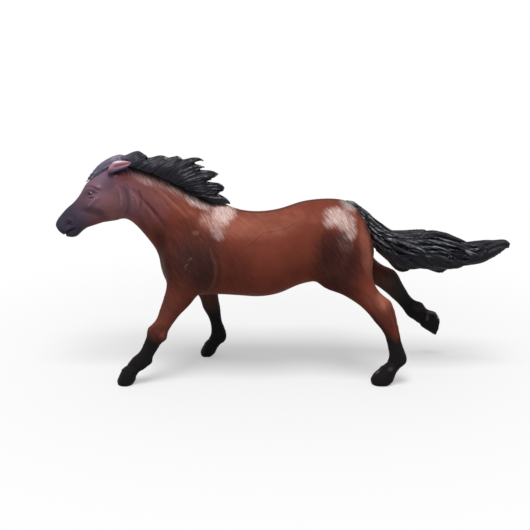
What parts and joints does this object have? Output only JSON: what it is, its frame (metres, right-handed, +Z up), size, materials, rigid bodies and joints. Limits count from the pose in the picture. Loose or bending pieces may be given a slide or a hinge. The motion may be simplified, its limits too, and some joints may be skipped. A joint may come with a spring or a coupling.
{
  "type": "toy horse figure",
  "caption": "Hand-painted plastic toy horse at full gallop, with hollow body halves and plug-in legs, ears, mane and tail, standing on three hooves.",
  "frame": {"origin": "on the floor, under the middle of the outline", "axes": "+Z up, -X towards the muzzle, +X towards the tail, -Y the horse's left side"},
  "size_m": [0.163, 0.0362, 0.082],
  "materials": {
    "bay_coat": "satin hand-painted bay",
    "bay_leg": "satin bay fading to black points",
    "dark_leg": "satin dark brown to black",
    "ear_pink": "satin orange-pink",
    "black_hair": "satin black with grooved strands"
  },
  "bodies": {
    "root": {"body_left_half": "bay_coat", "body_right_half": "bay_coat", "left_fore_leg": "bay_leg", "left_hind_leg": "bay_leg", "right_fore_leg": "dark_leg", "right_hind_leg": "dark_leg", "left_ear": "ear_pink", "right_ear": "ear_pink", "forelock": "black_hair", "mane_front": "black_hair", "mane_middle": "black_hair", "mane_rear": "black_hair", "tail": "black_hair"}
  },
  "joints": []
}
